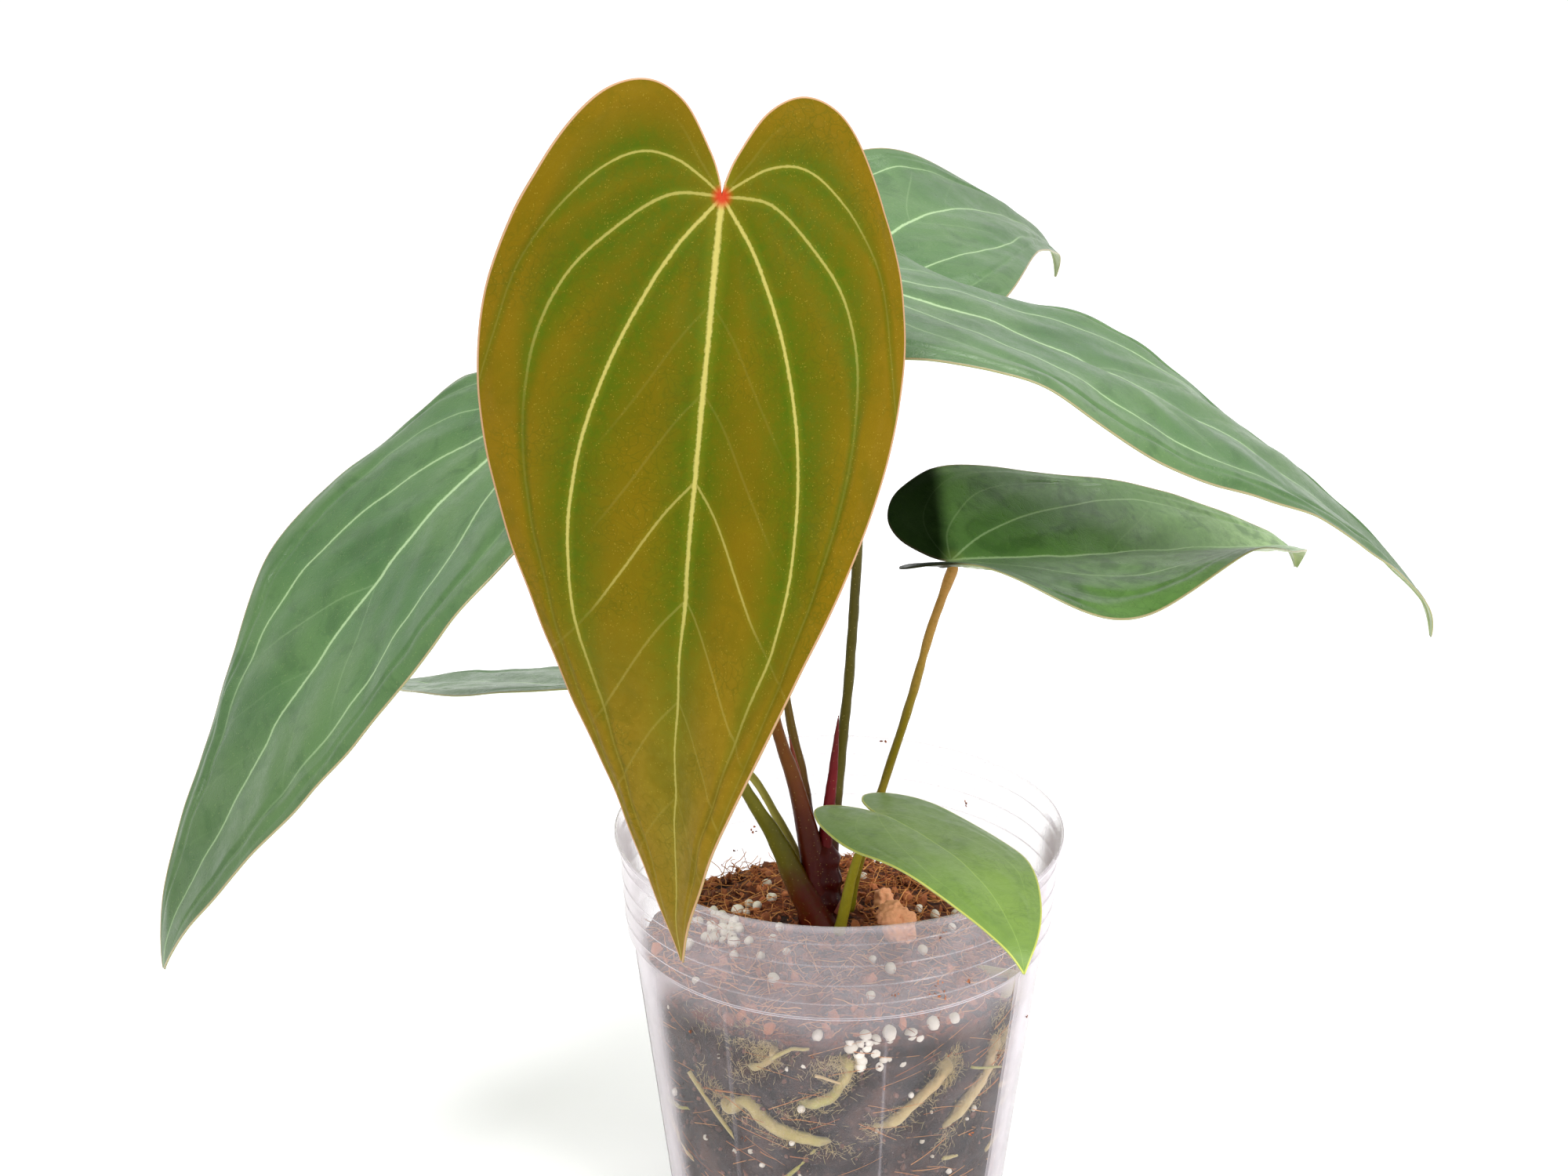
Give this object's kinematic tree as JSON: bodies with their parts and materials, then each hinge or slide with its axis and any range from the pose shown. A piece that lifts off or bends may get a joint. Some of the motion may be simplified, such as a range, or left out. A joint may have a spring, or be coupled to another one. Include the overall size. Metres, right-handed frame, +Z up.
{
  "type": "potted anthurium",
  "caption": "Potted aroid with heart-shaped velvety leaves on slender stalks, in a clear tapered nursery pot filled with fibrous mix and visible roots.",
  "frame": {"origin": "centre of the pot's underside, on the pot's axis", "axes": "+Z up along the pot's axis, -Y towards the side where the large bronze leaf hangs, +X to the right seen from there"},
  "size_m": [0.3278, 0.2666, 0.3244],
  "materials": {
    "clear_plastic": "clear, slightly milky moulded plastic with fine rings and creases",
    "substrate": "damp brown fibrous mix with pale grains",
    "crown": "smooth dark red living stem",
    "petiole": "smooth satin stalk, olive to red-brown at the base",
    "blade_bronze": "velvety bronze-olive leaf with pale veins",
    "blade_green": "velvety green leaf with pale veins and a soft sheen",
    "cataphyll": "thin papery reddish-brown scale",
    "root": "fleshy pale root, tan to yellow-green",
    "perlite": "matt off-white expanded grain",
    "pumice": "rough porous pinkish stone"
  },
  "bodies": {
    "root": {"blade_back_left": "blade_green", "blade_back_right": "blade_green", "blade_front": "blade_bronze", "blade_left": "blade_green", "blade_mid_right": "blade_green", "blade_right": "blade_green", "blade_small": "blade_green", "cataphyll_1": "cataphyll", "cataphyll_2": "cataphyll", "cataphyll_3": "cataphyll", "crown": "crown", "perlite_1": "perlite", "perlite_2": "perlite", "perlite_3": "perlite", "perlite_4": "perlite", "perlite_5": "perlite", "perlite_6": "perlite", "perlite_7": "perlite", "perlite_8": "perlite", "petiole_1": "petiole", "petiole_2": "petiole", "petiole_3": "petiole", "petiole_4": "petiole", "petiole_5": "petiole", "petiole_6": "petiole", "petiole_7": "petiole", "pot": "clear_plastic", "pumice_large": "pumice", "pumice_small": "pumice", "root_1": "root", "root_2": "root", "root_3": "root", "root_4": "root", "root_5": "root", "root_6": "root", "root_7": "root", "substrate": "substrate"}
  },
  "joints": []
}
